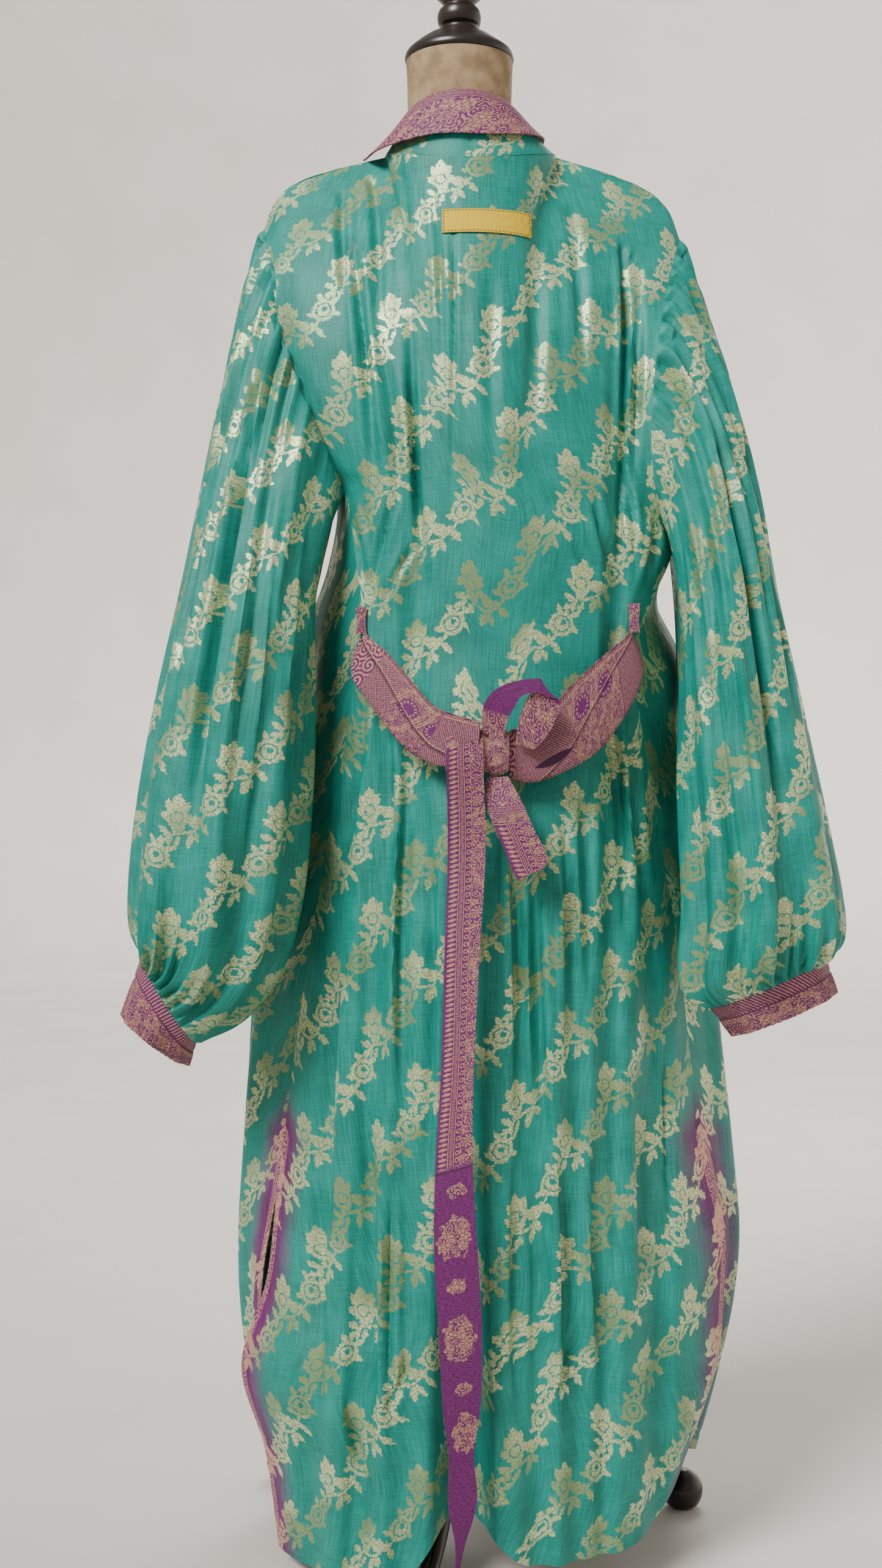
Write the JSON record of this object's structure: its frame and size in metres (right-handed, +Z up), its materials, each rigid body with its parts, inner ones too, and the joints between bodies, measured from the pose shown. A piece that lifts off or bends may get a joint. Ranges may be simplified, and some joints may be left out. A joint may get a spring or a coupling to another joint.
{
  "type": "kimono robe on a dress form",
  "caption": "Long open-fronted brocade robe with gathered sleeves and a belt tied in a half bow behind, on a limbless dress form with a turned wooden tripod stand.",
  "frame": {"origin": "on the floor, under the middle of the whole object's bounding box", "axes": "+Z up; the robe's back, which the picture shows, faces -Y and its open front faces +Y; +X is to the right as its back is looked at"},
  "size_m": [0.7072, 0.4542, 1.63],
  "materials": {
    "green_brocade": "green silk with pale gold woven garlands, soft sheen",
    "plum_jacquard": "plum silk jacquard with dull pinkish gold figures",
    "label_yellow": "bare woven yellow patch, matte",
    "form_linen": "coarse unbleached linen, matte",
    "dark_wood": "dark stained turned wood, satin"
  },
  "bodies": {
    "root": {"robe_back": "green_brocade", "robe_front_left": "green_brocade", "robe_front_right": "green_brocade", "collar_stand": "green_brocade", "sleeve_left": "green_brocade", "sleeve_right": "green_brocade", "collar_fall": "plum_jacquard", "front_band_left": "plum_jacquard", "front_band_right": "plum_jacquard", "cuff_left": "plum_jacquard", "cuff_right": "plum_jacquard", "belt_left": "plum_jacquard", "belt_right": "plum_jacquard", "belt_knot": "plum_jacquard", "belt_bow_loop": "plum_jacquard", "belt_tail_long": "plum_jacquard", "belt_tail_short": "plum_jacquard", "belt_tab_left": "plum_jacquard", "belt_tab_right": "plum_jacquard", "label": "label_yellow", "form_torso": "form_linen", "form_neck_cap": "dark_wood", "form_finial": "dark_wood", "stand_pole": "dark_wood", "stand_hub": "dark_wood", "stand_leg_1": "dark_wood", "stand_leg_2": "dark_wood", "stand_leg_3": "dark_wood"}
  },
  "joints": []
}
